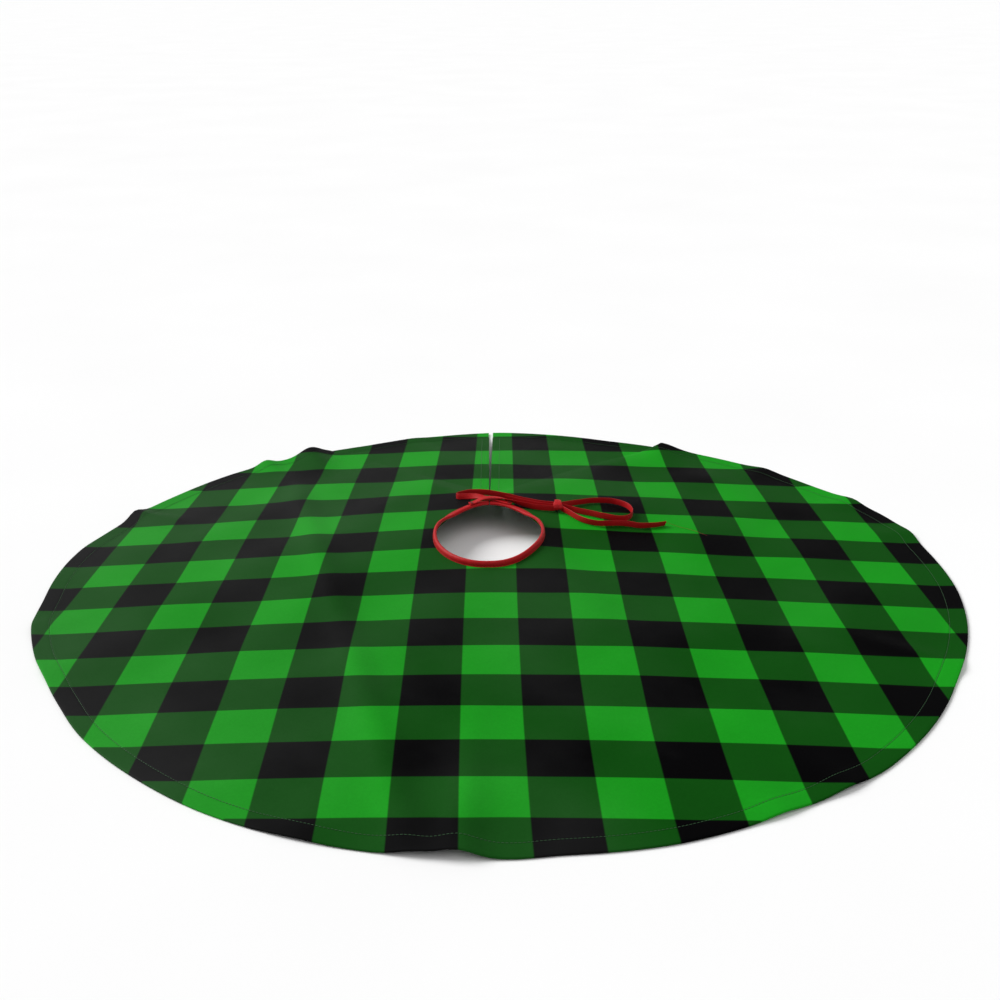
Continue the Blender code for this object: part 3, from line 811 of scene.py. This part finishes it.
knot = add_knot()
add_tie("left_tie_tape", LEFT_TIE, "left_tie", "skirt", "binding", "knot", knot)
add_tie("right_tie_tape", RIGHT_TIE, "right_tie", "skirt", "binding", "knot")
add_tie("short_tail_tape", SHORT_TAIL, "short_tail", "tuck", "knot", "bare")
add_tie("bow_loop_tape", BOW_LOOP, "bow_loop", "loop", "knot", "knot")
add_tie("long_tail_tape", LONG_TAIL, "long_tail", "tail", "knot", "bare", [add_frayed_end()])


# Cloth

# The print's squares as it lies, from the centre: rows and columns, then how they bow
PRINT_CHECK, PRINT_TURN = 0.0491, -0.0008
PRINT_START = (-0.7109, -0.7744)
PRINT_BOW = (
    (-0.1886, 0.7243, -0.0742, -0.0165, -0.0906, 0.0250, 0.0463),
    (-0.1247, -0.1336, -0.9467, 0.0260, -0.2232, 0.0096, -0.5627),
)
# How much print a raised place takes up, and how far it is drawn up at the neck
PRINT_PER_LIFT, PRINT_AT_NECK = 1.3, 0.0080

# The hem from its inner edge outwards: distance, rise of the top face, thickness in half hems
HEM_PROFILE = (
    (0.0, 0.00005, 1.2), (0.0008, 0.00012, 1.94), (0.0016, -0.00008, 1.8), (STITCH_MARGIN, -0.00030, 1.65),
    (0.0034, -0.00008, 1.8), (0.0045, 0.0, 1.94), (0.0075, 0.0, 1.96), (0.0110, 0.0, 1.96), (0.0145, 0.0, 1.96),
)
HEM_START = 0.0008


def print_place(x, y):
    """Columns and rows of the check at a place on the laid cloth."""
    u = (math.cos(PRINT_TURN) * x + math.sin(PRINT_TURN) * y) / PRINT_CHECK - PRINT_START[0]
    v = (-math.sin(PRINT_TURN) * x + math.cos(PRINT_TURN) * y) / PRINT_CHECK - PRINT_START[1]
    a, b = x / SKIRT_RADIUS, y / SKIRT_RADIUS
    terms = (a * a, a * b, b * b, a ** 3, a * a * b, a * b * b, b ** 3)
    return tuple(line + sum(k * term for k, term in zip(bow, terms)) for line, bow in zip((u, v), PRINT_BOW))


def add_print(piece):
    """Writes the print's columns and rows on a piece's mesh."""
    mesh = piece.data
    places = np.array([v.co for v in mesh.vertices], float)
    x, y = places[:, 0], places[:, 1]
    from_neck = np.arctan2(y - NECK_Y, x - NECK_X)
    neck, bend = neck_radius(from_neck), rim_radius(from_neck) - HEM_DEPTH
    share = np.clip((np.hypot(x - NECK_X, y - NECK_Y) - neck) / (bend - neck), 0, 1)
    drawn_up = PRINT_PER_LIFT * lift(x, y, share) + PRINT_AT_NECK * (1 - share) ** 1.6
    u, v = print_place(x, y + drawn_up)
    corners = np.zeros(len(mesh.loops), int)
    mesh.loops.foreach_get("vertex_index", corners)
    layer = mesh.uv_layers.new(name="print")
    layer.data.foreach_set("uv", np.stack([u, v], 1)[corners].astype(np.float32).ravel())


SLIT_TURN = math.asin(SLIT_OPENING / 2 / float(rim_radius(BACK)))


def radial_rows(azimuth):
    """Pattern radii, rise of the top face and thickness, from the neck to the rounded outer fold."""
    neck, rim = neck_radius(azimuth) + collar_seat(azimuth), rim_radius(azimuth)
    bend = rim - HEM_DEPTH
    radii, rises, thickness = [], [], []
    for share in np.linspace(0, 1, FLAT_ROWS, endpoint=False):
        radii.append(neck + (bend - HEM_START - neck) * share)
        rises.append(0.0)
        thickness.append(CLOTH)
    for reach, rise, thick in ((-HEM_START, 0.0, CLOTH / HEM_HALF), *HEM_PROFILE):
        radii.append(bend + reach)
        rises.append(rise)
        thickness.append(thick * HEM_HALF)
    for angle in np.radians((0, 20, 40, 60, 80)):
        radii.append(rim - HEM_HALF + HEM_HALF * math.sin(angle))
        rises.append(-HEM_HALF * (1 - math.cos(angle)))
        thickness.append(1.96 * HEM_HALF * math.cos(angle))
    return np.stack(radii, -1), np.array(rises), np.array(thickness)


def add_cloth(name, first, last, step, nodes):
    """A piece of the printed cloth with its hem turned under, from one angle round the neck to another.

    Its underside shows the pale reverse, except where the turned hem brings the printed face round.
    """
    azimuths = np.linspace(first, last, max(2, round(abs(last - first) / math.radians(step)) + 1))
    radii, rises, thickness = radial_rows(azimuths)
    top = settle(azimuths[:, None], radii, rises[None, :])
    bottom = top.copy()
    bottom[..., 2] -= thickness[None, :]
    verts, faces, kinds = shell(top[:, ::-1], bottom[:, ::-1])
    hem_rows = (np.arange(len(thickness)) >= FLAT_ROWS)[::-1]
    columns = top.shape[1]
    finish = [
        int(kind == UNDERSIDE and not (hem_rows[face[0] % columns] and hem_rows[face[2] % columns]))
        for face, kind in zip(faces, kinds)
    ]
    piece = new_piece(name, verts, faces, [CLOTH_FACE, CLOTH_REVERSE], finish)
    add_print(finished(piece, nodes))
    return piece, azimuths


def bend(piece, side):
    """Bakes a piece's placing into its mesh."""
    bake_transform(piece)


def surface_frame(azimuth, radius, ahead_azimuth, ahead_radius):
    """Place, direction and upward normal on the cloth's top face, heading for a second point."""
    here, there = Vector(settle(azimuth, radius)), Vector(settle(ahead_azimuth, ahead_radius))
    along = (there - here).normalized()
    return here, along, level_frame(along)[1]


def stitch_row(name, route, replaces, body=None):
    """A row of lock stitches along (azimuth, radius) points of the pattern."""
    route = np.array(route, float)
    places = settle(route[:, 0], route[:, 1])
    steps = np.concatenate([[0], np.cumsum(np.linalg.norm(np.diff(places, axis=0), axis=1))])
    seats = []
    for k in range(int(steps[-1] / STITCH_PITCH) - 1):
        at = (k + 0.7) * STITCH_PITCH
        a0, r0 = (np.interp(at, steps, route[:, c]) for c in (0, 1))
        a1, r1 = (np.interp(at + STITCH_HALF, steps, route[:, c]) for c in (0, 1))
        here, along, up = surface_frame(a0, r0, a1, r1)
        seats.append((here + up * (HEM_THREAD_RADIUS * 0.3), along, up, STITCH_HALF))
    return stitches(name, seats, HEM_THREAD_RADIUS, "green_thread", replaces, body)


def slit_point(side, along, inset):
    """Angle and distance round the neck of a point beside the slit."""
    edge = BACK - side * SLIT_TURN
    x = NECK_X + along * math.cos(edge) + side * inset * math.sin(edge)
    y = NECK_Y + along * math.sin(edge) - side * inset * math.cos(edge)
    return math.atan2(y - NECK_Y, x - NECK_X), math.hypot(x - NECK_X, y - NECK_Y)


def add_slit_turn(label, side):
    """The slit's edge, turned under: two soft layers with a rounded fold at the slit; and its stitches."""
    first = NECK_HALF_DEPTH + BINDING_REACH + 0.0005
    last = float(rim_radius(BACK)) - HEM_DEPTH - 0.0012
    under, turned = -CLOTH - 0.0001, TURNED_LAYERS
    section = (
        (SLIT_HEM_DEPTH, under), (SLIT_HEM_DEPTH + 0.0004, -CLOTH - 0.5 * turned), (SLIT_HEM_DEPTH, -CLOTH - turned),
        (0.0080, -CLOTH - 1.05 * turned), (0.0040, -CLOTH - 1.1 * turned), (0.0005, -CLOTH - turned),
        (-0.0003, -CLOTH - 0.6 * turned), (-0.0004, -0.6 * CLOTH), (-0.0001, -0.2 * CLOTH), (-0.0001, under),
        (0.0040, under), (0.0080, under),
    )
    stops = np.linspace(first, last, SLIT_RINGS)
    rings = [[settle(*slit_point(side, along, inset), drop) for inset, drop in section] for along in stops]
    piece = new_piece(label + "_slit_turn", *swept(rings), [CLOTH_FACE])
    add_print(finished(piece, [label + "_slit_hem", label + "_neck_slit_hem"]))
    route = [slit_point(side, along, SLIT_HEM_DEPTH - STITCH_MARGIN) for along in stops]
    nodes = [label + "_slit_stitching", label + "_neck_slit_stitching"]
    return piece, stitch_row(label + "_slit_stitches", route, nodes)


def hem_route(first, last):
    """The hem's stitching line between two angles."""
    azimuths = np.linspace(first, last, 400)
    return np.stack([azimuths, rim_radius(azimuths) - HEM_DEPTH + STITCH_MARGIN], 1)


def add_skirt():
    """The printed cloth in three pieces that meet in the rigid part, with its hems and stitching."""
    right_end, left_end = BACK - SIDE_TURN, BACK + SIDE_TURN
    front_end = left_end - 2 * math.pi
    front, azimuths = add_cloth("cloth_front", right_end, front_end, FRONT_STEP, ["skirt_panel", "outer_hem"])
    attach(front, "skirt")
    row = stitch_row("hem_stitches_front", hem_route(right_end, front_end), ["outer_hem_stitching"], "skirt")
    for label, side in (("right", 1), ("left", -1)):
        slit, end = BACK - side * SLIT_TURN, BACK - side * SIDE_TURN
        nodes = [f"{label}_flap_panel", f"{label}_flap_hem"]
        cloth, azimuths = add_cloth(f"cloth_{label}", end, slit, SIDE_STEP, nodes)
        row = stitch_row(f"hem_stitches_{label}", hem_route(end, slit), [f"{label}_flap_hem_stitching"])
        turn, slit_row = add_slit_turn(label, side)
        for piece in (cloth, row, turn, slit_row):
            bend(piece, side)


add_skirt()


# Neck binding

def neck_edge(turn, grow):
    """Angle and distance round the neck of a point `grow` outside the cut edge, square to it."""
    x, y = NECK_HALF_WIDTH * math.cos(turn), NECK_HALF_DEPTH * math.sin(turn)
    normal = Vector((math.cos(turn) / NECK_HALF_WIDTH, math.sin(turn) / NECK_HALF_DEPTH)).normalized()
    x, y = x + normal.x * grow, y + normal.y * grow
    return math.atan2(y, x), math.hypot(x, y)


def binding_place(turn, grow, above):
    """A point of the binding's section: it stands up like a collar, except at the back by the ties."""
    raised = float(collar_rise(turn))
    lean = raised * COLLAR_LEAN
    out = (grow - COLLAR_FOOT) * (1 - 0.16 * raised)
    seat = COLLAR_FOOT + (float(collar_foot(turn)) - COLLAR_FOOT) * raised
    azimuth, radius = neck_edge(turn, seat + out * math.cos(lean) + above * math.sin(lean))
    return Vector(settle(azimuth, radius, -out * math.sin(lean) + above * math.cos(lean)))


def add_binding():
    """Bias tape folded over the neck's edge: full and rounded, with slight puckers between stitches."""
    margin = SLIT_OPENING / 2 * NECK_HALF_DEPTH / float(rim_radius(BACK)) / NECK_HALF_WIDTH
    section = (
        (0.0062, 0.00010), (0.0064, 0.00045), (0.0060, 0.00090), (0.0052, 0.00098), (0.0046, 0.00078),
        (0.0039, 0.00110), (0.0026, 0.00150), (0.0010, 0.00155), (-0.0006, 0.00125), (-0.0015, 0.00060),
        (-0.0018, -0.00030), (-0.0016, -0.00120), (-0.0008, -0.00185), (0.0008, -0.00205), (0.0030, -0.00195),
        (0.0050, -0.00170), (0.0062, -0.00140), (0.0063, -0.00100), (0.0058, -0.00070), (0.0002, -0.00065),
        (0.0001, 0.00010),
    )
    first, last = BACK + margin, BACK + 2 * math.pi - margin
    rings = []
    for i in range(BINDING_RINGS):
        turn = first + (last - first) * i / (BINDING_RINGS - 1)
        pucker = 1 + 0.07 * math.sin(i * 0.83) * math.sin(i * 0.171 + 1) + 0.03 * math.sin(i * 2.1)
        rings.append([
            binding_place(turn, grow, above * (pucker if above > 0.0002 or above < -0.0012 else 1))
            for grow, above in section
        ])
    finished(new_piece("neck_binding_tape", *swept(rings), [RED_TAPE]), ["neck_binding"], "skirt")
    return first, last


def add_binding_stitches(first, last):
    """One row of stitches on the binding, hidden by the ties at the back."""
    seats = []
    tied = Vector((NECK_X, NECK_Y + NECK_HALF_DEPTH, 0))
    turns = [first + (last - first) * i / (BINDING_STOPS - 1) for i in range(BINDING_STOPS)]
    path = [binding_place(turn, 0.0046, 0.00080) for turn in turns]
    run = 0.0
    for turn, here, there in zip(turns, path, path[1:]):
        run += (there - here).length
        if run < BINDING_PITCH:
            continue
        run = 0.0
        if (Vector((here.x, here.y, 0)) - tied).length > 0.012:
            outward = (binding_place(turn, 0.0046, 0.0018) - here).normalized()
            seats.append((here, (there - here).normalized(), outward, BINDING_HALF))
    stitches("binding_stitches", seats, BINDING_THREAD, "red_thread", ["neck_binding_stitching"], "skirt")


def add_bartack(label, route):
    """Close zigzag stitches across the start of a tie."""
    places = smooth_route(route, 0.004)
    start, ahead = places[0][0], places[1][0]
    along = (ahead - start).normalized()
    side, up = level_frame(along)
    seats = []
    for k in range(9):
        lean = 0.12 if k % 2 else -0.12
        middle = start + along * (0.0014 + k * 0.00028) + up * (TAPE_THIN + 0.00028)
        seats.append((middle, (side + along * lean).normalized(), up, 0.0029))
    stitches(label + "_tie_bartack", seats, BARTACK_THREAD, "red_thread", [label + "_bartack"], "skirt")


first_turn, last_turn = add_binding()
add_binding_stitches(first_turn, last_turn)
add_bartack("left", LEFT_TIE)
add_bartack("right", RIGHT_TIE)
